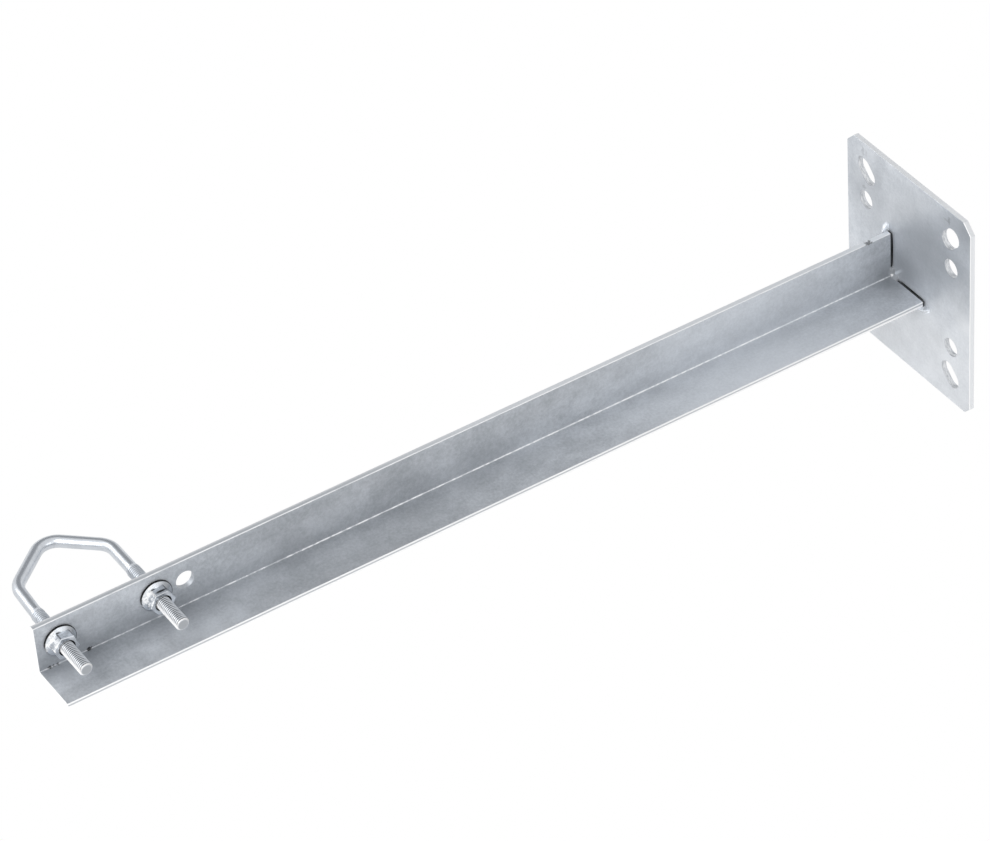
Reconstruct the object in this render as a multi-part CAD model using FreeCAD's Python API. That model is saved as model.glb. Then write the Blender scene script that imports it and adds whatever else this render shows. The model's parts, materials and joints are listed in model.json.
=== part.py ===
"""Antenna mast wall bracket: a wall plate, a folded angle arm welded to it, and a V-bolt with two nuts.

Millimetres. The origin is the centre of the plate's wall face. +Y points into the wall, +Z is up, and the
arm reaches out from the wall along -Y. The V-bolt's bow stands on the -X side of the arm's upright leg,
where the mast goes, and its nuts sit on the +X side.
"""
import FreeCAD, Part
import math
import os

from FreeCAD import Vector

# Wall plate
plate_width = 85.0
plate_height = 100.0
plate_thickness = 2.5
plate_top_cut = 4.7
plate_bottom_cut = 3.4
sheared_edge_radius = 0.3

# Holes in the plate, one slot and one round hole at each corner, for M8 wall screws
slot_width = 8.8
slot_length = 13.0
slot_side_edge = 13.5
slot_end_edge = 14.0
slot_angle = 45.0
round_hole_diameter = 8.8
round_side_edge = 13.0
round_end_edge = 29.0

# Arm, an equal angle folded from one strip
leg_width = 25.0
sheet_thickness = 2.5
arm_length = 412.0
root_gap = 0.5
outer_fold_radius = 2.9
inner_fold_radius = 0.4
arm_left_of_centre = 13.5
arm_below_centre = 10.25

# Holes in the arm's upright leg
bolt_end_distance = 10.6
bolt_pitch = 43.2
bolt_height = 14.15
bolt_hole_clearance = 0.3
spare_hole_pitch = 56.6
spare_hole_height = 14.95
spare_hole_diameter = 8.4

# V-bolt, M6
thread_diameter = 6.0
rod_diameter = 5.3
thread_length = 40.0
thread_end_cut = 0.7
thread_runout = 1.0
stud_beyond_leg = 21.5
shoulder_reach = 34.5
apex_reach = 53.3
apex_off_middle = 1.3
shoulder_radius = 9.5
apex_radius = 8.5
lean_start = 18.5
lean_at_shoulder = 0.9
lean_radius = 40.0

# Flange nuts, M6
nut_height = 6.0
nut_across_flats = 10.0
nut_flange_diameter = 14.2
nut_rim_height = 1.1
nut_cone_height = 2.2
nut_rim_round = 0.3
nut_bore_clearance = 0.05
nut_seat_clearance = 0.05
nut_mouth = 0.45
nut_turns = {"end_nut": -10.0, "inner_nut": 1.0}

# Welds
weld_leg = 3.6
weld_crown = 0.5
tack_leg = 1.5
tack_crown = 0.1
tack_reach = 4.7

# Places that follow from the sizes
plate_front = -plate_thickness
arm_root = plate_front - root_gap
arm_end = arm_root - arm_length
web_back = -arm_left_of_centre
web_front = web_back + sheet_thickness
flange_tip = web_back + leg_width
arm_bottom = -arm_below_centre
flange_top = arm_bottom + sheet_thickness
web_top = arm_bottom + leg_width
bolt_z = arm_bottom + bolt_height
bolt_places = {"end_nut": arm_end + bolt_end_distance}
bolt_places["inner_nut"] = bolt_places["end_nut"] + bolt_pitch
spare_y = bolt_places["end_nut"] + spare_hole_pitch
spare_z = arm_bottom + spare_hole_height
stud_tip = web_front + stud_beyond_leg
bolt_hole_radius = thread_diameter / 2 + bolt_hole_clearance


def face_of(points):
    """A flat face inside a closed run of points."""
    return Part.Face(Part.makePolygon(points + [points[0]]))


def cylinder(radius, start, end):
    """A round bar from one point to another."""
    axis = end - start
    return Part.makeCylinder(radius, axis.Length, start, axis)


def long_hole(centre, along, through, length, width, depth):
    """The cutter of a slot: two round ends and the block between them."""
    reach = (length - width) / 2
    ends = [centre + along * sign * reach for sign in (-1, 1)]
    side = along.cross(through) * (width / 2)
    corners = [ends[0] - side, ends[1] - side, ends[1] + side, ends[0] + side]
    rounds = [Part.makeCylinder(width / 2, depth, end, through) for end in ends]
    return face_of(corners).extrude(through * depth).fuse(rounds)


def corners_of_plate():
    """Each corner of the plate as its two signs."""
    return [(side, level) for side in (-1, 1) for level in (-1, 1)]


def wall_plate():
    """The plate, its corners cut off, with a slot and a round hole in each corner."""
    half_w, half_h = plate_width / 2, plate_height / 2
    top, bottom = plate_top_cut, plate_bottom_cut
    outline = [(-half_w + bottom, -half_h), (half_w - bottom, -half_h), (half_w, -half_h + bottom),
               (half_w, half_h - top), (half_w - top, half_h), (-half_w + top, half_h),
               (-half_w, half_h - top), (-half_w, -half_h + bottom)]
    plate = face_of([Vector(x, plate_front, z) for x, z in outline]).extrude(Vector(0, plate_thickness, 0))
    rims = [edge for edge in plate.Edges if edge.BoundBox.YLength < 1e-6]
    plate = plate.makeFillet(sheared_edge_radius, rims)
    through = Vector(0, 1, 0)
    depth = 3 * plate_thickness
    cutters = []
    for side, level in corners_of_plate():
        turn = math.radians(slot_angle) * side * level
        along = Vector(math.cos(turn), 0, math.sin(turn))
        slot_centre = Vector(side * (half_w - slot_side_edge), -2 * plate_thickness,
                             level * (half_h - slot_end_edge))
        cutters.append(long_hole(slot_centre, along, through, slot_length, slot_width, depth))
        round_centre = Vector(side * (half_w - round_side_edge), -2 * plate_thickness,
                              level * (half_h - round_end_edge))
        cutters.append(Part.makeCylinder(round_hole_diameter / 2, depth, round_centre, through))
    return plate.cut(cutters)


def arm():
    """The angle: an L section with a rounded heel and a tight inner fold, drilled for the V-bolt."""
    section = [(flange_tip, arm_bottom), (flange_tip, flange_top), (web_front, flange_top),
               (web_front, web_top), (web_back, web_top), (web_back, arm_bottom)]
    angle = face_of([Vector(x, arm_end, z) for x, z in section]).extrude(Vector(0, arm_length, 0))

    folds = {(web_back, arm_bottom): outer_fold_radius, (web_front, flange_top): inner_fold_radius}
    for x, z in section:
        along = [edge for edge in angle.Edges
                 if all(abs(v.X - x) < 1e-6 and abs(v.Z - z) < 1e-6 for v in edge.Vertexes)]
        angle = angle.makeFillet(folds.get((x, z), sheared_edge_radius), along)
    start_x = web_back - sheet_thickness
    depth = 3 * sheet_thickness
    through = Vector(1, 0, 0)
    cutters = [Part.makeCylinder(bolt_hole_radius, depth, Vector(start_x, y, bolt_z), through)
               for y in bolt_places.values()]
    spare_centre = Vector(start_x, spare_y, spare_z)
    cutters.append(Part.makeCylinder(spare_hole_diameter / 2, depth, spare_centre, through))
    return angle.cut(cutters)


def weld_profile(corner, outward, leg=weld_leg, crown=weld_crown):
    """A fillet weld's section at a corner: one leg on the plate, one on the arm, and a crowned face."""
    on_plate = corner + outward * leg
    on_arm = corner + Vector(0, -leg, 0)
    middle = (on_plate + on_arm) * 0.5
    top = middle + (middle - corner).normalize() * crown
    sides = [Part.makeLine(corner, on_plate), Part.Arc(on_plate, top, on_arm).toShape(),
             Part.makeLine(on_arm, corner)]
    return Part.Face(Part.Wire(sides))


def outer_weld():
    """One bead round the outside of the angle, with a round end past each leg's edge."""
    down, left = Vector(0, 0, -1), Vector(-1, 0, 0)
    top_corner = Vector(web_back, plate_front, web_top)
    tip_corner = Vector(flange_tip, plate_front, arm_bottom)
    heel_centre = Vector(web_back + outer_fold_radius, plate_front, arm_bottom + outer_fold_radius)
    web_length = web_top - heel_centre.z
    flange_length = flange_tip - heel_centre.x
    axis = Vector(0, -1, 0)
    pieces = [
        weld_profile(top_corner, left).extrude(down * web_length),
        weld_profile(tip_corner, down).extrude(left * flange_length),
        weld_profile(heel_centre + left * outer_fold_radius, left).revolve(heel_centre, axis, 90),
        weld_profile(top_corner, left).revolve(top_corner, axis, -90),
        weld_profile(tip_corner, down).revolve(tip_corner, axis, 90),
    ]
    return pieces[0].fuse(pieces[1:]).removeSplitter()


def corner_tack():
    """A small tack of weld in the inner corner, run out a little way along both legs."""
    corner = Vector(web_front, plate_front, flange_top)
    up, right = Vector(0, 0, 1), Vector(1, 0, 0)
    on_web = weld_profile(corner, right, tack_leg, tack_crown).extrude(up * tack_reach)
    on_flange = weld_profile(corner, up, tack_leg, tack_crown).extrude(right * tack_reach)
    ball = Part.makeSphere(tack_reach, corner)
    return on_web.fuse(on_flange).removeSplitter().common(ball).cut(arm())


def bolt_route():
    """The V-bolt's centre line with its bends as arcs. It isn't quite even: the end leg leans in a little."""
    near, far = bolt_places["end_nut"], bolt_places["inner_nut"]
    shoulder_x = web_back - shoulder_reach
    corners = [Vector(stud_tip, near, bolt_z), Vector(web_back - lean_start, near, bolt_z),
               Vector(shoulder_x, near + lean_at_shoulder, bolt_z),
               Vector(web_back - apex_reach, (near + far) / 2 + apex_off_middle, bolt_z),
               Vector(shoulder_x, far, bolt_z), Vector(stud_tip, far, bolt_z)]
    radii = [lean_radius, shoulder_radius, apex_radius, shoulder_radius]
    edges = []
    last = corners[0]
    for before, corner, after, radius in zip(corners, corners[1:], corners[2:], radii):
        back = (before - corner).normalize()
        ahead = (after - corner).normalize()
        half = back.getAngle(ahead) / 2
        start = corner + back * (radius / math.tan(half))
        end = corner + ahead * (radius / math.tan(half))
        centre = corner + (back + ahead).normalize() * (radius / math.sin(half))
        middle = centre + (corner - centre).normalize() * radius
        edges += [Part.makeLine(last, start), Part.Arc(start, middle, end).toShape()]
        last = end
    edges.append(Part.makeLine(last, corners[-1]))
    return edges


def threaded_end(y):
    """One stud: the full diameter of its thread, cut off at 45 degrees at the tip and run out at the rod."""
    full, thin = thread_diameter / 2, rod_diameter / 2
    tip = full - thread_end_cut
    start = stud_tip - thread_length
    outline = [(start - thread_runout, 0), (start - thread_runout, thin), (start, full),
               (stud_tip - thread_end_cut, full), (stud_tip, tip), (stud_tip, 0)]
    half = face_of([Vector(x, y + radius, bolt_z) for x, radius in outline])
    return half.revolve(Vector(0, y, bolt_z), Vector(1, 0, 0), 360)


def v_bolt():
    """A round rod bent to a V bow, with a thread on both legs."""
    route = bolt_route()
    near, far = bolt_places["end_nut"], bolt_places["inner_nut"]
    start = stud_tip - thread_length
    pieces = []
    for edge in route:
        first, last = edge.Vertexes[0].Point, edge.Vertexes[-1].Point
        if edge.Curve.TypeId == "Part::GeomCircle":
            outset = edge.valueAt(edge.FirstParameter)
            ring = Part.makeCircle(rod_diameter / 2, outset, edge.tangentAt(edge.FirstParameter))
            turn = math.degrees(edge.LastParameter - edge.FirstParameter)
            pieces.append(Part.Face(Part.Wire(ring)).revolve(edge.Curve.Center, edge.Curve.Axis, turn))
        elif max(first.x, last.x) > start:
            leg_x = min(first.x, last.x)
            pieces.append(cylinder(rod_diameter / 2, Vector(leg_x, first.y, bolt_z),
                                   Vector(start, first.y, bolt_z)))
        else:
            pieces.append(cylinder(rod_diameter / 2, first, last))
    pieces += [threaded_end(near), threaded_end(far)]
    return pieces[0].fuse(pieces[1:]).removeSplitter()


def flange_nut(name):
    """A hexagon nut with a round flange, on its stud and against the arm's upright leg."""
    seat = web_front + nut_seat_clearance
    rim = nut_flange_diameter / 2
    corner = nut_across_flats / math.sqrt(3)
    bore = thread_diameter / 2 + nut_bore_clearance
    neck = nut_across_flats / 2
    wide = corner + 1
    bevel = (wide - neck) * math.tan(math.radians(30))
    outline = [(0, 0), (0, rim - nut_rim_round), (nut_rim_round, rim), (nut_rim_height, rim),
               (nut_cone_height, neck), (nut_cone_height, 0)]
    axis_point = Vector(seat, bolt_places[name], bolt_z)
    along = Vector(1, 0, 0)

    def turned(points):
        face = face_of([axis_point + Vector(x, radius, 0) for x, radius in points])
        return face.revolve(axis_point, along, 360)

    turns = [math.radians(nut_turns[name] + 60 * k) for k in range(6)]
    hexagon = face_of([axis_point + Vector(0, corner * math.cos(a), corner * math.sin(a)) for a in turns])
    prism = hexagon.extrude(along * nut_height)
    cone = turned([(0, 0), (0, wide), (nut_height - bevel, wide), (nut_height, neck), (nut_height, 0)])
    body = turned(outline).fuse(prism.common(cone))
    hole = turned([(-1, 0), (-1, bore), (nut_height - nut_mouth, bore),
                   (nut_height + 0.01, bore + nut_mouth + 0.01), (nut_height + 0.01, 0)])
    return body.cut(hole)


def main():
    os.makedirs("parts", exist_ok=True)
    shapes = {"wall_plate": wall_plate(), "arm": arm(), "outer_weld": outer_weld(),
              "corner_tack": corner_tack(), "v_bolt": v_bolt()}
    for name in bolt_places:
        shapes[name] = flange_nut(name)
    for name, shape in shapes.items():
        solids = shape.Solids
        if len(solids) == 1:
            shape = solids[0]
        print(name, "solids", len(solids), "valid", shape.isValid(), "volume", round(shape.Volume, 1),
              [round(v, 2) for v in (shape.BoundBox.XMin, shape.BoundBox.XMax, shape.BoundBox.YMin,
                                     shape.BoundBox.YMax, shape.BoundBox.ZMin, shape.BoundBox.ZMax)])
        shape.exportStep("parts/" + name + ".step")


main()
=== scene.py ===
"""The looks of the antenna mast wall bracket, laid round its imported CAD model.

The scene is in metres, in the model's own frame. The object's sizes and places are in millimetres.
"""

import json
import math

import bpy
from mathutils import Matrix, Vector


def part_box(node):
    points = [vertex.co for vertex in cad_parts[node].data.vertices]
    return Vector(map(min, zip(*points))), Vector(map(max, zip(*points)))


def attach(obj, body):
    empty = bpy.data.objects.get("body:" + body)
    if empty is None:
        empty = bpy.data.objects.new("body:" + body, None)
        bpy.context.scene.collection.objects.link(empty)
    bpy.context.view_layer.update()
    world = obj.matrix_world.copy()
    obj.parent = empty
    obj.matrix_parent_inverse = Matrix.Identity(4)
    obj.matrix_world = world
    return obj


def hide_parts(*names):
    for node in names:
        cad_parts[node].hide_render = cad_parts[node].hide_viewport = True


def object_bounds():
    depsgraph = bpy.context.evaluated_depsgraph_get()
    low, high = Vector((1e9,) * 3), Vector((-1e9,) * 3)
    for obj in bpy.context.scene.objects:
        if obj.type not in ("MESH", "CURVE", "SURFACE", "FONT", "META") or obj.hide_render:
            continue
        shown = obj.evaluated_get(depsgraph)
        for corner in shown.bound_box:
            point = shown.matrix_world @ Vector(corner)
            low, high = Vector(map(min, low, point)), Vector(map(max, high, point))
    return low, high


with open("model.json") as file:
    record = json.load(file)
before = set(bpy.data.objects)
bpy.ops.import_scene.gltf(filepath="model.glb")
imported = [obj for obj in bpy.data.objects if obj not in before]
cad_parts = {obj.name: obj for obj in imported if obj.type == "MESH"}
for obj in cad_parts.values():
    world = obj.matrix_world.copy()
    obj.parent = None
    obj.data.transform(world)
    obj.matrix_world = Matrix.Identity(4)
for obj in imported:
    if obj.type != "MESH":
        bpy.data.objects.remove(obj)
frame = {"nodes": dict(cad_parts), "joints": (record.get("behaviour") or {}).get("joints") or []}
cad_box = [list(corner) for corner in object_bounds()]

MM = 0.001


def in_mm(places):
    """Places in metres as vectors in millimetres."""
    return [Vector(place) / MM for place in places]


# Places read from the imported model
nodes = frame["nodes"]
hinges = {joint["child"]: joint["pos_m"] for joint in frame["joints"] if joint["type"] == "hinge"}
END_LEG, INNER_LEG = in_mm([hinges["end_nut"], hinges["inner_nut"]])
arm_low, arm_high = in_mm(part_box("arm"))
plate_low, plate_high = in_mm(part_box("wall_plate"))
STUD_TIP = in_mm(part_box("v_bolt"))[1].x

# The folded angle, whose upright leg is the web, and the plate
SHEET = 2.5
WEB_BACK = arm_low.x
WEB_FRONT = WEB_BACK + SHEET
WEB_TOP = arm_high.z
FLANGE_TOP = arm_low.z + SHEET
FLANGE_TIP = arm_high.x
ARM_END = arm_low.y
ARM_ROOT = arm_high.y
PLATE_FRONT = plate_low.y
PLATE_BACK = plate_high.y
PLATE_CUT = 4.7

# The V-bolt's thread, whose root and flank are shares of half a pitch, and its centre line
ROD_RADIUS = 2.65
THREAD_RADIUS = 3.0
THREAD_ROOT = 2.45
THREAD_PITCH = 1.0
THREAD_LENGTH = 40.0
THREAD_START = STUD_TIP - THREAD_LENGTH
ROOT_SHARE = 0.2
FLANK_SHARE = 0.62
STUD_CUT = 0.7
STUD_END_RADIUS = THREAD_RADIUS - STUD_CUT
LEAN_START = 18.5
LEAN_AT_SHOULDER = 0.9
SHOULDER_REACH = 34.5
APEX_REACH = 53.3
APEX_OFF_MIDDLE = 1.3
BEND_RADII = (40.0, 9.5, 8.5, 9.5)

# How finely the V-bolt's skin is cut
ROD_SIDES = 40
ROD_STEP = 1.5
BEND_STEP = 0.5
STEPS_PER_PITCH = 12

# The flange nuts
NUT_SIDES = 72
NUT_HALF_FLATS = 5.0
NUT_CORNER = NUT_HALF_FLATS / math.cos(math.pi / 6)
NUT_EDGE = 0.25
NUT_BORE = 3.05
NUT_MOUTH_WIDTH = 0.55
NUT_MOUTH_DEPTH = 0.5
RIM_RADIUS = 7.1
RIM_HEIGHT = 0.7
RIM_BEVEL_HEIGHT = 0.2
RIM_BEVEL_WIDTH = 0.3
CONE_SLOPE = 0.4

# The sides that catch the light in the photograph, as directions across a stud and a nut
STUD_BRIGHT_SIDE = (0, -0.918, -0.397)
NUT_BRIGHT_SIDE = (0, -0.87, 0.48)

# Painted shades across the whole arm: their middle along it, reach and strength
ARM_PAINTED_SHADES = ((-240, 100, 0.12), (-290, 70, 0.16))

# Painted light and shade patches on the flange: their place across and along it, radius, grey and strength
FLANGE_LIGHT_AND_SHADE_PATCHES = (((-4, -403), 12, 0.85, 0.4), ((4, -351), 14, 0.85, 0.36), ((7, -335), 9, 0.85, 0.3),
                  ((6, -373), 9, 0.85, 0.2), ((2, -320), 10, 0.2, 0.18))

# Dark notches beside the fold near the free end: their place along it, half length and strength
FOLD_NOTCHES = ((-410.6, 0.9, 0.8), (-408.8, 0.7, 0.6), (-407.0, 0.9, 0.7), (-392.7, 1.5, 0.95))

# The scorch on the web's top edge: its place along the arm
SCORCH_PLACE = -14.5

# Darker clouds of painted shade and reflection on the plate: their place across it and up, radius and
# strength
PLATE_SHADE_CLOUDS = (((12, 20), 42, 0.64), ((-28, 26), 28, 0.35), ((40, 46), 16, 0.7),
                ((-1, 2), 15, 0.62), ((36, 22), 20, 0.35), ((27, 42), 13, 0.25))

# Dark marks near the plate's holes: their place across it and up, half width, half height, and strength
PLATE_MARKS = (((-31.5, 45.5), (1.3, 2.4), 0.22), ((-29.0, 45.0), (1.0, 2.2), 0.2),
               ((-33.0, 40.5), (2.0, 1.6), 0.4), ((28.0, 45.5), (1.0, 2.2), 0.4),
               ((26.0, 44.5), (1.8, 0.7), 0.25), ((-31.0, 27.0), (1.4, 1.0), 0.25))

# The painted shadow lines on the plate in the gap beside the web and the flange: their middles, half length
# and half width
WEB_GAP_SHADOW_HEIGHT = 5.8
FLANGE_GAP_SHADOW_PLACE = 2.6
GAP_SHADOW_HALF_LENGTH = 8.9
GAP_SHADOW_HALF_WIDTH = 0.4

# Painted shade and dark reflection bands on the nuts: their centre from the middle of the front face, radii
# and strength
SHADED_SIDE = ((-5.0, 4.6, 3.6), (1.8, 3.4, 3.8), 0.4)
END_NUT_SHADE_BANDS = (((-4.2, -1.2, 5.4), (0.6, 2.0, 0.9), 0.9),
                 ((-1.2, 0.0, 5.0), (0.5, 2.4, 0.8), 0.3), SHADED_SIDE)
INNER_NUT_SHADE_BANDS = (((-4.2, -2.1, 5.1), (0.6, 1.8, 0.9), 0.95),
                   ((-1.7, 0.4, 5.0), (0.9, 3.6, 1.3), 0.97), SHADED_SIDE)

# How far each nut is turned, in degrees
END_NUT_TURN = -10
INNER_NUT_TURN = 1

# The photograph's camera: its place in metres, turn in degrees, lens and sensor in millimetres
CAMERA_PLACE = (1.26658, -0.94389, 1.24635)
CAMERA_TURN = (50.0539, 3.3697, 57.0319)
CAMERA_LENS = 173.29
SENSOR_WIDTH = 36.0


def mesh_object(name, vertices, faces):
    """A new smooth mesh object in the scene, from vertices in metres."""
    mesh = bpy.data.meshes.new(name)
    mesh.from_pydata([tuple(v) for v in vertices], [], faces)
    mesh.validate()
    mesh.update()
    for polygon in mesh.polygons:
        polygon.use_smooth = True
    piece = bpy.data.objects.new(name, mesh)
    bpy.context.scene.collection.objects.link(piece)
    return piece


def paint(piece, material):
    """Gives a piece one material in place of what it has."""
    piece.data.materials.clear()
    piece.data.materials.append(material)


class Graph:
    """A node tree, with short calls for the few nodes that this scene uses."""

    def __init__(self, tree):
        self.tree = tree

    def add(self, kind, *inputs, **settings):
        """A new node, its first inputs fed in order and its settings made."""
        node = self.tree.nodes.new(kind)
        for key, value in settings.items():
            setattr(node, key, value)
        for index, value in enumerate(inputs):
            self.feed(node.inputs[index], value)
        return node

    def feed(self, socket, value):
        """Links an output to the socket, or sets the socket's own value, or with None leaves it."""
        if isinstance(value, bpy.types.NodeSocket):
            self.tree.links.new(value, socket)
        elif value is not None:
            socket.default_value = value

    def math(self, operation, a, b=0.0):
        """An operation on two numbers."""
        return self.add("ShaderNodeMath", a, b, operation=operation).outputs[0]

    def product(self, first, *others):
        """All the numbers multiplied together."""
        for other in others:
            first = self.math("MULTIPLY", first, other)
        return first

    def vector(self, operation, a, b=None):
        """A vector operation. LENGTH and DOT_PRODUCT give a number."""
        node = self.add("ShaderNodeVectorMath", a, b, operation=operation)
        return node.outputs["Value" if operation in ("LENGTH", "DOT_PRODUCT") else "Vector"]

    def ramp(self, value, low, high, out_low=0.0, out_high=1.0):
        """value from low to high turned smoothly into out_low to out_high."""
        limits = (low, high, out_low, out_high)
        return self.add("ShaderNodeMapRange", value, *limits, interpolation_type="SMOOTHSTEP").outputs[0]

    def hump(self, value, middle, reach):
        """1 where value is at the middle, falling smoothly to 0 at reach on both sides."""
        return self.ramp(self.math("ABSOLUTE", self.math("SUBTRACT", value, middle)), reach, 0.0)

    def mix(self, factor, a, b):
        """Colour a turning into colour b."""
        node = self.add("ShaderNodeMix", data_type="RGBA")
        self.feed(node.inputs["Factor"], factor)
        self.feed(node.inputs["A"], a)
        self.feed(node.inputs["B"], b)
        return node.outputs["Result"]


class Look(Graph):
    """A material built up in coats over a first colour. Places and lengths are in millimetres."""

    def __init__(self, name):
        self.material = bpy.data.materials.new(name)
        self.material.use_nodes = True
        super().__init__(self.material.node_tree)
        self.shader = self.tree.nodes["Principled BSDF"]
        metres = self.add("ShaderNodeTexCoord").outputs["Object"]
        self.place = self.vector("DIVIDE", metres, (MM, MM, MM))
        self.x, self.y, self.z = self.add("ShaderNodeSeparateXYZ", self.place).outputs
        self.colour = None
        self.roughness = None

    def set(self, **sockets):
        """Sets or links inputs of the shader."""
        for name, value in sockets.items():
            self.feed(self.shader.inputs[name.replace("_", " ")], value)

    def coat(self, tone, *masks):
        """Lays a tone over the colour so far, as far as the product of the masks lets it show."""
        self.colour = self.mix(self.product(*masks), self.colour, tone)

    def painted(self):
        """The finished material."""
        self.set(Base_Color=self.colour)
        return self.material

    def noise(self, size, detail=3.0, stretch=(1, 1, 1), roughness=0.55):
        """Noise from 0 to 1 with lumps of about that size, drawn out by stretch along each axis."""
        node = self.add("ShaderNodeTexNoise", self.vector("DIVIDE", self.place, stretch))
        node.inputs["Scale"].default_value = 1 / size
        node.inputs["Detail"].default_value = detail
        node.inputs["Roughness"].default_value = roughness
        return node.outputs["Fac"]

    def spot(self, centre, radii, inner=0.4, wobble=None):
        """1 inside an ellipsoid and 0 outside, soft from inner to its surface, which wobble shifts."""
        moved = self.vector("SUBTRACT", self.place, tuple(centre))
        reach = self.vector("LENGTH", self.vector("DIVIDE", moved, tuple(radii)))
        if wobble is not None:
            reach = self.math("ADD", reach, wobble)
        return self.ramp(reach, 1.0, inner)

    def ragged(self):
        """The wobble that makes a spot's outline ragged."""
        return self.ramp(self.noise(1.5, detail=2.0), 0.3, 0.7, -0.4, 0.4)

    def from_axis(self, leg):
        """The place seen from a leg's axis, which runs along X, and its distance from that axis."""
        moved = self.vector("SUBTRACT", self.place, (0, leg.y, leg.z))
        return moved, self.vector("LENGTH", self.vector("MULTIPLY", moved, (0, 1, 1)))

    def bump(self, height, distance, under=None):
        """Normals for a relief of that depth, laid over those of another one."""
        node = self.add("ShaderNodeBump")
        self.feed(node.inputs["Height"], height)
        self.feed(node.inputs["Distance"], distance * MM)
        self.feed(node.inputs["Strength"], 1.0)
        self.feed(node.inputs["Normal"], under)
        return node.outputs["Normal"]


def grey(level, blue=0.045):
    """A slightly blue grey, as linear colour."""
    return (level * (1 - blue), level, level * (1 + 1.35 * blue), 1.0)


WHITE = grey(1.0, 0.0)


def sheet_look(name, dark, light, roughness):
    """Galvanised sheet: a soft mottle of two greys with darker blotches and a fine grain."""
    g = Look(name)
    cloud = g.noise(16, detail=6.0, stretch=(1, 1.7, 1), roughness=0.68)
    grain = g.noise(1.3, detail=3.0, roughness=0.7)
    blotch = g.ramp(g.noise(26, detail=3.0, stretch=(1, 1.4, 1)), 0.5, 0.66, 0.0, 0.18)
    fine = g.noise(0.45, detail=1.0)
    from_cloud = g.ramp(cloud, 0.32, 0.68, 0.0, 0.6)
    from_grain = g.ramp(grain, 0.3, 0.7, 0.0, 0.4)
    g.colour = g.mix(g.math("ADD", from_cloud, from_grain), grey(dark, 0.06), grey(light))
    g.coat(grey(dark * 0.45, 0.07), blotch)
    g.set(Metallic=0.45, Roughness=g.ramp(cloud, 0.3, 0.7, roughness + 0.05, roughness - 0.04))
    g.set(Normal=g.bump(fine, 0.012, under=g.bump(grain, 0.03)))
    return g


def arm_painted_light_and_shade(g):
    """Painted soft light and shade along the arm, and smaller painted light and shade patches on its
    flange.
    """
    # Painted light near the wall, more of it on the flange
    lit_near_wall = g.hump(g.y, -80, 100)
    more_on_flange = g.ramp(g.x, WEB_FRONT, 9, 0.4, 0.6)
    g.coat(grey(0.8), lit_near_wall, more_on_flange)
    for middle, reach, strength in ARM_PAINTED_SHADES:
        g.coat(grey(0.2), g.hump(g.y, middle, reach), strength)
    # Painted shade on the outer flange towards the free end, and on the upper web
    outer_flange = g.ramp(g.x, -4, 8)
    far_half = g.ramp(g.y, -180, -280, 0.0, 0.18)
    g.coat(grey(0.25), outer_flange, far_half)
    upper_web = g.ramp(g.z, 0.0, 10, 0.0, 0.16)
    before_middle = g.hump(g.y, -160, 90)
    g.coat(grey(0.2), upper_web, before_middle)
    # Painted patches of light and shade on the flange
    for (x, y), radius, level, strength in FLANGE_LIGHT_AND_SHADE_PATCHES:
        painted_patch = g.spot((x, y, FLANGE_TOP), (radius, radius, 1), inner=0.0)
        g.coat(grey(level), painted_patch, strength)


def arm_faces(g):
    """The sheet's cut faces: the web's top with a painted highlight along its back edge, the flange's
    sheared tip painted white as a highlight round a duller grey middle band, and the white free end.
    """
    # The web's top painted lighter along its back edge as a highlight, and lighter towards the wall
    top_face = g.ramp(g.z, WEB_TOP - 0.25, WEB_TOP - 0.1)
    top_tone = g.mix(g.ramp(g.x, WEB_BACK + 0.3, WEB_BACK + 1.5), grey(0.7, 0.02), grey(0.5))
    towards_wall = g.ramp(g.y, -300, -180)
    g.coat(g.mix(towards_wall, top_tone, grey(0.78, 0.03)), top_face)
    # The flange's tip painted white as a highlight above and below a duller grey band across its sheared
    # face
    tip_face = g.ramp(g.x, FLANGE_TIP - 0.25, FLANGE_TIP - 0.1)
    sheared = g.hump(g.z, FLANGE_TOP - 0.95, 0.75)
    g.coat(g.mix(sheared, WHITE, grey(0.5)), tip_face)
    g.coat(WHITE, g.ramp(g.y, ARM_END + 0.3, ARM_END + 0.1))


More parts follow.
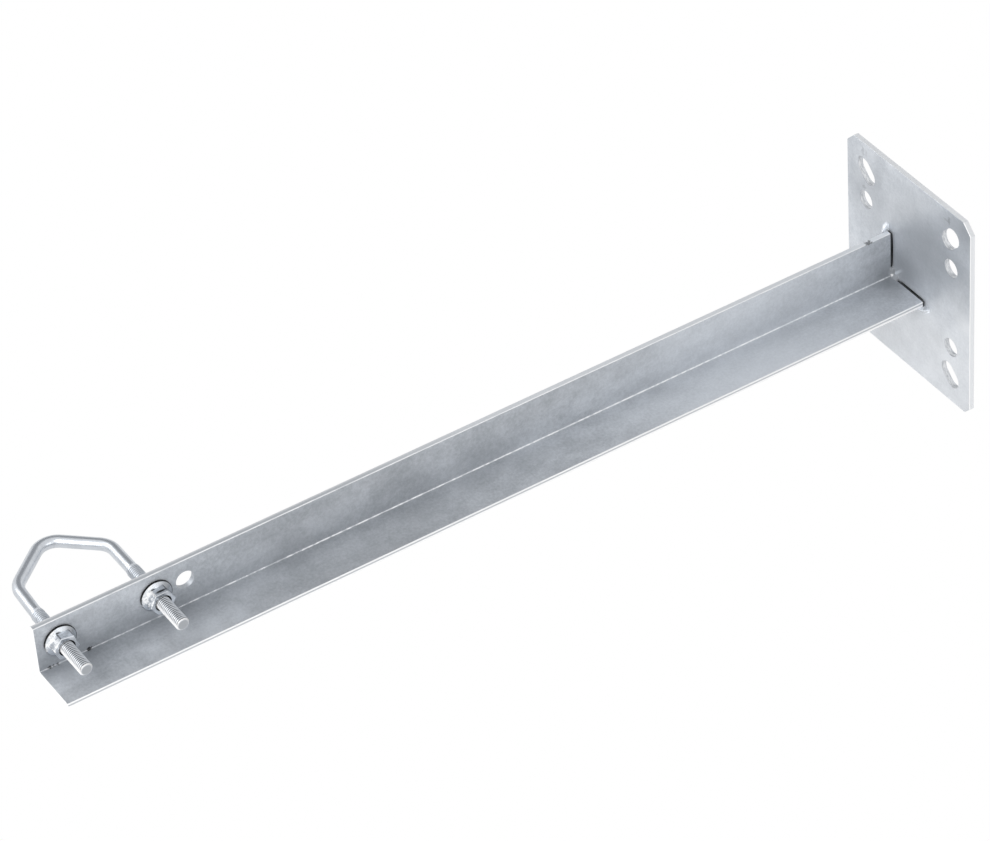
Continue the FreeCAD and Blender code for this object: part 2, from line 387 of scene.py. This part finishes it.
def arm_material():
    """The angle: painted shade in its fold near both ends, painted highlights on the fold and edges, and a
    few dark marks.
    """
    g = sheet_look("galvanised_arm", 0.4, 0.68, 0.42)
    arm_painted_light_and_shade(g)

    from_web = g.math("SUBTRACT", g.x, WEB_FRONT)
    from_flange = g.math("SUBTRACT", g.z, FLANGE_TOP)
    from_fold = g.math("MAXIMUM", from_web, from_flange)
    inside = g.product(g.ramp(from_web, -0.3, 0.0), g.ramp(from_flange, -0.3, 0.0))
    near_fold = g.ramp(from_fold, 15, 2)
    shaded_ends = g.math("ADD", g.ramp(g.y, -290, -350, 0.12, 0.42), g.ramp(g.y, -20, -5, 0.0, 0.5))
    # Painted shade in the inner fold, along the arm and most near both ends
    g.coat(grey(0.22, 0.07), inside, near_fold, shaded_ends)
    arm_faces(g)

    # A painted highlight along the inner fold, broken and fainter towards the free end
    fold_highlight = g.ramp(from_fold, 0.6, 0.25)
    faintest = g.ramp(g.y, -330, -260, 0.05, 0.3)
    broken = g.ramp(g.noise(2.5, detail=4.0), 0.42, 0.58, faintest, 0.85)
    fading = g.ramp(g.y, -400, -250, 0.35, 1.0)
    g.coat(grey(0.9, 0.01), inside, fold_highlight, broken, fading)
    # Patchy painted highlights along the flange's tip and the web's top edges
    patchy = g.ramp(g.noise(12, detail=3.0), 0.3, 0.55, 0.3, 0.85)
    edge_width = 0.45
    endless = 10000
    for x, z in ((FLANGE_TIP, FLANGE_TOP), (WEB_FRONT, WEB_TOP), (WEB_BACK, WEB_TOP)):
        edge = g.spot((x, 0, z), (edge_width, endless, edge_width), inner=0.5)
        g.coat(grey(0.85, 0.01), edge, patchy)

    ragged = g.ragged()
    for y, half_length, strength in FOLD_NOTCHES:
        notch = g.spot((WEB_FRONT, y, FLANGE_TOP + 0.3), (1.0, half_length, 1.0), wobble=ragged)
        g.coat(grey(0.02), notch, strength)
    scorch = g.spot((WEB_FRONT, SCORCH_PLACE, WEB_TOP), (2.6, 2.2, 0.9), wobble=ragged)
    g.coat(grey(0.08), scorch, 0.8)
    # The arm's end at the wall painted near black as shade in the gap at its root
    root_gap_shade = g.ramp(g.y, ARM_ROOT - 0.6, ARM_ROOT - 0.35)
    g.coat(grey(0.006, 0.2), root_gap_shade)
    return g.painted()


def plate_material():
    """The wall plate: plain behind, and in front with darker clouds of painted shade and reflection by the
    arm, marks by the holes and painted highlights on its edges.
    """
    g = sheet_look("galvanised_plate", 0.5, 0.7, 0.4)
    plain = g.colour
    through_all = 40
    # Darker clouds of painted shade and reflection on the front
    for (x, z), radius, strength in PLATE_SHADE_CLOUDS:
        cloud = g.spot((x, PLATE_FRONT, z), (radius, through_all, radius), inner=0.0)
        g.coat(grey(0.3, 0.06), cloud, strength)
    lower_part = g.ramp(g.z, 0.0, -24, 0.0, 0.38)
    g.coat(grey(0.9, 0.015), lower_part)
    right_light = g.spot((40, PLATE_FRONT, -4), (14, through_all, 13), inner=0.0)
    g.coat(grey(0.85, 0.02), right_light, 0.5)

    across_slant = g.math("SUBTRACT", g.x, g.z)
    along_slant = g.math("ADD", g.x, g.z)
    fold_corner = WEB_FRONT + FLANGE_TOP
    off_line = g.math("ABSOLUTE", g.math("SUBTRACT", across_slant, WEB_FRONT - FLANGE_TOP))
    fold_mirrored = g.ramp(off_line, 1.4, 0.3, 0.0, 0.8)
    fading = g.ramp(along_slant, -3, -13)
    g.coat(grey(0.85), fold_mirrored, fading, g.ramp(along_slant, fold_corner - 0.5, fold_corner))

    ragged = g.ragged()
    for (x, z), (half_width, half_height), strength in PLATE_MARKS:
        mark = g.spot((x, PLATE_FRONT, z), (half_width, 2, half_height), wobble=ragged)
        g.coat(grey(0.12), mark, strength)
    # Painted shadow in the gap between the plate and the arm's root
    web_gap_shadow = ((WEB_FRONT, PLATE_FRONT, WEB_GAP_SHADOW_HEIGHT),
                (GAP_SHADOW_HALF_WIDTH, 1, GAP_SHADOW_HALF_LENGTH))
    flange_gap_shadow = ((FLANGE_GAP_SHADOW_PLACE, PLATE_FRONT, FLANGE_TOP),
                   (GAP_SHADOW_HALF_LENGTH, 1, GAP_SHADOW_HALF_WIDTH))
    for centre, radii in (web_gap_shadow, flange_gap_shadow):
        g.coat(grey(0.006), g.spot(centre, radii, inner=0.85))
    behind_front = g.ramp(g.y, PLATE_FRONT + 0.4, PLATE_FRONT + 0.8)
    g.coat(plain, behind_front)

    in_sheet = g.product(g.ramp(g.y, PLATE_FRONT + 0.1, PLATE_FRONT + 0.3),
                         g.ramp(g.y, PLATE_BACK - 0.1, PLATE_BACK - 0.3))
    cut_tone = g.ramp(g.noise(2.2, detail=2.0, stretch=(1, 0.3, 1)), 0.35, 0.65)
    g.coat(g.mix(cut_tone, grey(0.55, 0.04), grey(0.8, 0.02)), in_sheet)
    cut_line = plate_high.x + plate_high.z - PLATE_CUT
    # A painted highlight on the front rim along the right side and the cut corner, and the right, top and
    # cut faces each painted its own grey as the light falls on them
    for value, limit, rim, level in ((g.x, plate_high.x, 1.0, 0.82), (g.z, plate_high.z, 0.0, 0.9),
                                     (along_slant, cut_line, 1.0, 0.72)):
        edge = g.ramp(value, limit - 0.3, limit - 0.12)
        tone = g.mix(in_sheet, grey(0.97, 0.0), grey(level, 0.02))
        g.coat(tone, edge, g.ramp(in_sheet, 0.0, 1.0, rim, 1.0))
    return g.painted()


def zinc_look(name, level, roughness, mottle):
    """The bright zinc of the V-bolt and the nuts."""
    g = Look(name)
    cloud = g.noise(6, detail=3.0)
    g.colour = g.mix(g.ramp(cloud, 0.3, 0.7), grey(level * (1 - mottle)), grey(level))
    g.roughness = g.ramp(cloud, 0.3, 0.7, roughness + 0.05, roughness)
    g.set(Metallic=0.95, Roughness=g.roughness, Normal=g.bump(g.noise(0.3, detail=1.0), 0.003))
    return g


def nut_material(name, leg, front, bands):
    """A nut: painted shade on its rim and corners, in its mouth and in bands, and one face painted white as
    a highlight where the light falls.
    """
    g = zinc_look("zinc_" + name, 0.78, 0.2, 0.28)
    moved, reach = g.from_axis(leg)
    # Painted shade and dark reflections in bands across the nut
    for (x, y, z), radii, strength in bands:
        band = g.spot((front + x, leg.y + y, leg.z + z), radii, inner=0.3)
        g.coat(grey(0.03), band, strength)
    # Painted shade along the hexagon's corners, between the cone and the front edge
    above_cone = g.ramp(g.x, front - 4.4, front - 4.0)
    below_edge = g.ramp(g.x, front - NUT_EDGE, front - 0.4, 0.0, 0.8)
    shaded_corners = g.ramp(reach, NUT_CORNER - 0.27, NUT_CORNER - 0.05)
    g.coat(grey(0.08), above_cone, below_edge, shaded_corners)
    aside = g.vector("DOT_PRODUCT", moved, NUT_BRIGHT_SIDE)
    patchy = g.ramp(g.noise(1.6), 0.38, 0.6, 0.15, 0.85)
    # The face towards the light painted white, patchy and less metallic, as a painted highlight
    lit_face = g.product(g.ramp(aside, NUT_HALF_FLATS - 0.8, NUT_HALF_FLATS - 0.1), patchy)
    g.coat(WHITE, lit_face)
    g.set(Metallic=g.ramp(lit_face, 0.0, 0.8, 0.95, 0.3))
    # Painted shade in the nut's mouth
    near_front = g.ramp(g.x, front - 0.9, front - 0.5)
    shaded_mouth = g.ramp(reach, NUT_BORE + 0.8, NUT_BORE + 0.5)
    g.coat(grey(0.01), near_front, shaded_mouth)
    # Painted shade on the flange's rim, strongest above
    more_above = g.ramp(g.z, leg.z - 3, leg.z + 1, 0.5, 1.0)
    shaded_rim = g.ramp(reach, RIM_RADIUS - 0.35, RIM_RADIUS - 0.15)
    g.coat(grey(0.012), more_above, shaded_rim)
    return g.painted()


def bolt_material():
    """The V-bolt: softer than its nuts, its studs painted lit on one side and shaded next to it, with
    painted shade in the thread grooves and the tip's chamfer painted white as a highlight.
    """
    g = zinc_look("zinc_bolt", 0.66, 0.29, 0.1)
    grain = g.ramp(g.noise(0.8, detail=3.0, stretch=(3, 1, 1)), 0.3, 0.7, 0.0, 0.1)
    g.coat(grey(0.3), grain)
    rougher = g.ramp(g.x, THREAD_START - 1, THREAD_START + 1, 0.0, 0.12)
    g.set(Roughness=g.math("ADD", g.roughness, rougher))
    on_threads = g.ramp(g.x, THREAD_START, THREAD_START + 1)
    more_in_front = g.ramp(g.x, WEB_BACK, WEB_FRONT, 0.15, 1.0)
    on_studs = g.ramp(g.x, WEB_FRONT, WEB_FRONT + 1)
    end_face = g.ramp(g.x, STUD_TIP - 0.1, STUD_TIP - 0.02)
    before_end = g.ramp(g.x, STUD_TIP - 0.02, STUD_TIP - 0.1)
    clear_of_leg = THREAD_RADIUS + 2
    lit = 0.0
    for leg in (END_LEG, INNER_LEG):
        moved, reach = g.from_axis(leg)
        on_leg = g.ramp(reach, clear_of_leg, THREAD_RADIUS + 1)
        aside = g.vector("DOT_PRODUCT", moved, STUD_BRIGHT_SIDE)
        # Painted shade in the thread grooves, fainter behind the web
        shaded_grooves = g.ramp(reach, THREAD_RADIUS - 0.1, THREAD_ROOT + 0.05, 0.0, 0.95)
        g.coat(grey(0.06), shaded_grooves, on_threads, more_in_front)
        shaded = g.hump(aside, -0.5, 1.5)
        g.coat(grey(0.22), shaded, on_leg, on_studs, 0.4)
        near_chamfer = g.ramp(reach, STUD_END_RADIUS - 0.35, STUD_END_RADIUS - 0.05)
        g.coat(g.mix(near_chamfer, grey(0.42), grey(0.6)), end_face, on_leg)
        # Painted light along each stud's lit side
        light_side = g.math("MAXIMUM", g.ramp(aside, 1.3, 2.7), g.ramp(aside, 0.2, 1.1, 0.0, 0.3))
        this_leg = g.ramp(aside, clear_of_leg, THREAD_RADIUS + 1)
        lit = g.math("MAXIMUM", lit, g.product(light_side, this_leg))
    # The lit side and the tip's chamfer painted white, with less metal, as a painted highlight
    chamfer = g.ramp(g.x, STUD_TIP - STUD_CUT, STUD_TIP - 0.4, 0.0, 0.7)
    white = g.product(g.math("MAXIMUM", g.product(lit, on_studs), chamfer), before_end)
    g.coat(WHITE, white)
    g.set(Metallic=g.ramp(white, 0.0, 1.0, 0.95, 0.15))
    return g.painted()


def highlight_edge_material():
    """The nut's front edge painted white as a highlight."""
    g = Look("zinc_edge_highlight")
    g.set(Base_Color=WHITE, Metallic=0.3, Roughness=0.4)
    return g.material


def weld_material():
    """The weld bead, under the same zinc as the sheet."""
    g = Look("galvanised_weld")
    cloud = g.noise(2, detail=3.0)
    g.colour = g.mix(g.ramp(cloud, 0.35, 0.6), grey(0.55), grey(0.98))
    g.set(Metallic=0.25, Roughness=0.25, Normal=g.bump(cloud, 0.3))
    return g.painted()


def tack_material():
    """The inner tack: as dull as the sheet round it and painted as dark as its shade, with a painted glint
    where the fold runs into it.
    """
    g = Look("galvanised_tack")
    cloud = g.noise(1.5, detail=3.0)
    g.colour = g.mix(g.ramp(cloud, 0.3, 0.7), grey(0.3), grey(0.42))
    # A painted glint where the fold runs into the tack
    glint = g.spot((WEB_FRONT + 0.8, PLATE_FRONT - 1.0, FLANGE_TOP + 0.8), (0.9, 1.2, 0.9), inner=0.2)
    g.coat(grey(0.95, 0.0), glint)
    g.set(Metallic=0.3, Roughness=0.5, Normal=g.bump(cloud, 0.1))
    return g.painted()


def rounded_route(corners, radii, step):
    """Points along straight runs with rounded corners, the arcs cut into steps of about that length."""
    points = [corners[0]]
    for before, corner, after, radius in zip(corners, corners[1:], corners[2:], radii):
        back = (before - corner).normalized()
        ahead = (after - corner).normalized()
        half = back.angle(ahead) / 2
        centre = corner + (back + ahead).normalized() * (radius / math.sin(half))
        start = corner + back * (radius / math.tan(half)) - centre
        end = corner + ahead * (radius / math.tan(half)) - centre
        turn = start.angle(end)
        axis = start.cross(end).normalized()
        count = max(2, math.ceil(turn * radius / step))
        for k in range(count + 1):
            points.append(centre + Matrix.Rotation(turn * k / count, 3, axis) @ start)
    points.append(corners[-1])
    return points


def filled_route(points, step_at):
    """The same route with its straight runs cut up, each step as long as step_at says for its place."""
    route = [points[0]]
    for point in points[1:]:
        while (point - route[-1]).length > 1.5 * step_at(route[-1]):
            route.append(route[-1] + (point - route[-1]).normalized() * step_at(route[-1]))
        route.append(point)
    return route


def thread_radius(x, turn):
    """The leg's radius at x and that turn about it: a right-hand thread, chamfered at the tip."""
    if x < THREAD_START - THREAD_PITCH:
        return ROD_RADIUS
    phase = (x / THREAD_PITCH - turn / (2 * math.pi)) % 1.0
    from_root = abs(phase - 0.5) * 2
    rise = min(1.0, max(0.0, (from_root - ROOT_SHARE) / FLANK_SHARE))
    full = THREAD_ROOT + (THREAD_RADIUS - THREAD_ROOT) * rise
    run_out = min(1.0, max(0.0, (x - THREAD_START + THREAD_PITCH) / (2 * THREAD_PITCH)))
    radius = ROD_RADIUS + (full - ROD_RADIUS) * run_out
    return min(radius, STUD_END_RADIUS + (STUD_TIP - x))


def v_bolt():
    """The V-bolt as one skin along its centre line, with real threads on both legs."""
    shoulder_x = WEB_BACK - SHOULDER_REACH
    middle = (END_LEG.y + INNER_LEG.y) / 2
    bends = [(STUD_TIP, END_LEG.y), (WEB_BACK - LEAN_START, END_LEG.y),
             (shoulder_x, END_LEG.y + LEAN_AT_SHOULDER),
             (WEB_BACK - APEX_REACH, middle + APEX_OFF_MIDDLE),
             (shoulder_x, INNER_LEG.y), (STUD_TIP, INNER_LEG.y)]
    corners = [Vector((x, y, END_LEG.z)) for x, y in bends]
    fine_from = THREAD_START - 2 * THREAD_PITCH

    def step_at(point):
        return THREAD_PITCH / STEPS_PER_PITCH if point.x > fine_from else ROD_STEP

    route = filled_route(rounded_route(corners, BEND_RADII, BEND_STEP), step_at)
    vertices, faces = [], []
    for i, point in enumerate(route):
        ahead = (route[min(i + 1, len(route) - 1)] - route[max(i - 1, 0)]).normalized()
        across = ahead.cross(Vector((0, 0, 1)))
        for k in range(ROD_SIDES):
            angle = 2 * math.pi * k / ROD_SIDES
            outward = across * math.cos(angle) + Vector((0, 0, math.sin(angle)))
            radius = thread_radius(point.x, math.atan2(outward.z, outward.y))
            vertices.append((point + outward * radius) * MM)
    for i in range(len(route) - 1):
        for k in range(ROD_SIDES):
            a, b = i * ROD_SIDES + k, i * ROD_SIDES + (k + 1) % ROD_SIDES
            faces.append((a, b, b + ROD_SIDES, a + ROD_SIDES))
    last = (len(route) - 1) * ROD_SIDES
    faces.append(tuple(reversed(range(ROD_SIDES))))
    faces.append(tuple(range(last, last + ROD_SIDES)))
    bolt = mesh_object("v_bolt_threaded", vertices, faces)
    for cap in bolt.data.polygons[-2:]:
        cap.use_smooth = False
    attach(bolt, "v_bolt")
    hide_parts("v_bolt")
    return bolt


def nut(name, leg, low, high, turn):
    """A flange nut with crisp, barely bevelled hexagon edges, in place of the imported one."""
    bevel_top = low + RIM_HEIGHT + RIM_BEVEL_HEIGHT

    def hexagon(angle):
        away = (angle - turn) % (math.pi / 3) - math.pi / 6
        return NUT_HALF_FLATS / math.cos(away)

    def round_ring(x, radius):
        return lambda angle: (x, radius)

    def cone_end(angle):
        return bevel_top + CONE_SLOPE * (RIM_RADIUS - RIM_BEVEL_WIDTH - hexagon(angle)), hexagon(angle)

    rings = [round_ring(low, NUT_BORE), round_ring(low, RIM_RADIUS),
             round_ring(low + RIM_HEIGHT, RIM_RADIUS),
             round_ring(bevel_top, RIM_RADIUS - RIM_BEVEL_WIDTH), cone_end,
             lambda angle: (high - NUT_EDGE, hexagon(angle)),
             lambda angle: (high, hexagon(angle) - NUT_EDGE),
             round_ring(high, NUT_BORE + NUT_MOUTH_WIDTH), round_ring(high - NUT_MOUTH_DEPTH, NUT_BORE),
             round_ring(low, NUT_BORE)]
    round_bands = (1, 2, 3, 7, 8)
    # The front edge band, which takes the painted highlight material
    edge_band = 5
    vertices, faces, smooth, slots = [], [], [], []
    for band, (first, second) in enumerate(zip(rings, rings[1:])):
        start = len(vertices)
        for ring in (first, second):
            for k in range(NUT_SIDES):
                angle = turn + 2 * math.pi * k / NUT_SIDES
                x, radius = ring(angle)
                place = Vector((x, leg.y + radius * math.cos(angle), leg.z + radius * math.sin(angle)))
                vertices.append(place * MM)
        for k in range(NUT_SIDES):
            after = (k + 1) % NUT_SIDES
            faces.append((start + k, start + after, start + NUT_SIDES + after, start + NUT_SIDES + k))
            smooth.append(band in round_bands)
            slots.append(1 if band == edge_band else 0)
    piece = mesh_object(name + "_crisp", vertices, faces)
    for polygon, is_smooth, slot in zip(piece.data.polygons, smooth, slots):
        polygon.use_smooth = is_smooth
        polygon.material_index = slot
    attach(piece, name)
    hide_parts(name)
    return piece


def square(name, half, z=0.0):
    """A flat square of that half side, in metres."""
    return mesh_object(name, [(-half, -half, z), (half, -half, z), (half, half, z), (-half, half, z)],
                       [(0, 1, 2, 3)])


def aim(thing, place, target):
    """Sets a lamp or a card at a place, in metres, with its face towards the target."""
    thing.location = place
    thing.rotation_euler = (Vector(target) - Vector(place)).to_track_quat("-Z", "Y").to_euler()


def area_light(name, place, target, side, power):
    """A soft square lamp aimed at a point."""
    data = bpy.data.lights.new(name, "AREA")
    data.shape = "SQUARE"
    data.size = side
    data.energy = power
    lamp = bpy.data.objects.new(name, data)
    aim(lamp, place, target)
    bpy.context.scene.collection.objects.link(lamp)


def dark_card(name, place, target, side, level):
    """A card of one grey, out of sight and there only to be mirrored in the metal."""
    card = square(name, side / 2)
    aim(card, place, target)
    g = Look(name)
    glow = g.add("ShaderNodeEmission", grey(level, 0.03), 1.0).outputs[0]
    g.feed(g.tree.nodes["Material Output"].inputs["Surface"], glow)
    paint(card, g.material)
    for ray in ("camera", "diffuse", "shadow", "transmission", "volume_scatter"):
        setattr(card, "visible_" + ray, False)


def floor():
    """A pale floor just under the part, pure white where it is seen or mirrored."""
    below = 0.5 * MM
    half_side = 6.0
    ground = square("floor", half_side, cad_box[0][2] - below)
    g = Look("floor")
    g.set(Base_Color=(0.9, 0.9, 0.9, 1), Roughness=0.9)
    rays = g.add("ShaderNodeLightPath").outputs
    white = g.add("ShaderNodeEmission", (1, 1, 1, 1), 1.0).outputs[0]
    seen = g.math("MAXIMUM", rays["Is Camera Ray"], rays["Is Glossy Ray"])
    blend = g.add("ShaderNodeMixShader", seen, g.shader.outputs[0], white).outputs[0]
    g.feed(g.tree.nodes["Material Output"].inputs["Surface"], blend)
    paint(ground, g.material)


def surround():
    """A white world, full where it is seen or mirrored and dimmer as a light."""
    world = bpy.data.worlds.new("studio")
    world.use_nodes = True
    bpy.context.scene.world = world
    g = Graph(world.node_tree)
    rays = g.add("ShaderNodeLightPath").outputs
    seen = g.math("MAXIMUM", rays["Is Camera Ray"], rays["Is Glossy Ray"])
    seen = g.math("MAXIMUM", seen, rays["Is Transmission Ray"])
    dimmed = 0.55
    level = g.add("ShaderNodeMapRange", seen, 0.0, 1.0, dimmed, 1.0).outputs[0]
    background = g.tree.nodes["Background"]
    g.feed(background.inputs["Color"], (1, 1, 1, 1))
    g.feed(background.inputs["Strength"], level)


def studio():
    """The floor, the surround, three lamps and a card, placed in metres."""
    floor()
    surround()
    middle = (0, -0.2, 0)
    area_light("key", (0.5, -1.4, 1.0), middle, 0.8, 11)
    area_light("fill", (-0.7, -1.2, 0.9), middle, 0.9, 6)
    area_light("side", (1.4, -0.2, 0.5), middle, 0.8, 4)
    dark_card("dark_card", (-1.1, 0.25, 1.1), (0, -0.3, 0), 1.5, 0.36)


def camera():
    """The photograph's camera."""
    data = bpy.data.cameras.new("camera")
    data.sensor_fit = "HORIZONTAL"
    data.sensor_width = SENSOR_WIDTH
    data.lens = CAMERA_LENS
    data.clip_end = 30
    eye = bpy.data.objects.new("camera", data)
    eye.location = CAMERA_PLACE
    eye.rotation_euler = [math.radians(a) for a in CAMERA_TURN]
    bpy.context.scene.collection.objects.link(eye)
    bpy.context.scene.camera = eye


camera()
studio()
bpy.context.scene.view_settings.view_transform = "Standard"
for name, material in (("wall_plate", plate_material()), ("arm", arm_material()),
                       ("outer_weld", weld_material()), ("corner_tack", tack_material())):
    paint(nodes[name], material)
highlight_edge = highlight_edge_material()
for name, leg, turn, bands in (("end_nut", END_LEG, END_NUT_TURN, END_NUT_SHADE_BANDS),
                               ("inner_nut", INNER_LEG, INNER_NUT_TURN, INNER_NUT_SHADE_BANDS)):
    nut_low, nut_high = in_mm(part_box(name))
    piece = nut(name, leg, nut_low.x, nut_high.x, math.radians(turn))
    paint(piece, nut_material(name, leg, nut_high.x, bands))
    piece.data.materials.append(highlight_edge)
paint(v_bolt(), bolt_material())
